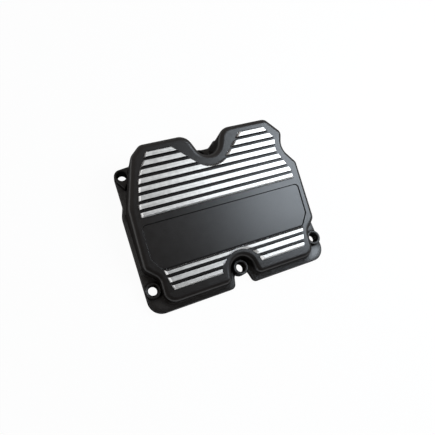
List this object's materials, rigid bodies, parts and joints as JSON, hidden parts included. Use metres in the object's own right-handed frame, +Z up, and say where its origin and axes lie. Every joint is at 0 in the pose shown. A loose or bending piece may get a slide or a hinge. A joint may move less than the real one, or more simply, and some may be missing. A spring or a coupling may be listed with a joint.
{
  "type": "engine valve cover",
  "caption": "Die-cast engine valve cover with a bolted flange, a sloping ribbed crown, a blank panel and notches for its middle bolts.",
  "frame": {"origin": "centre of the flange outline on the gasket face", "axes": "+Z up, away from the engine; +X along the ribs; +Y towards the tall back edge"},
  "size_m": [0.1504, 0.125, 0.0387],
  "materials": {
    "casting": "satin black coating, bare brushed rib tops"
  },
  "bodies": {
    "root": {"valve_cover": "casting"}
  },
  "joints": []
}
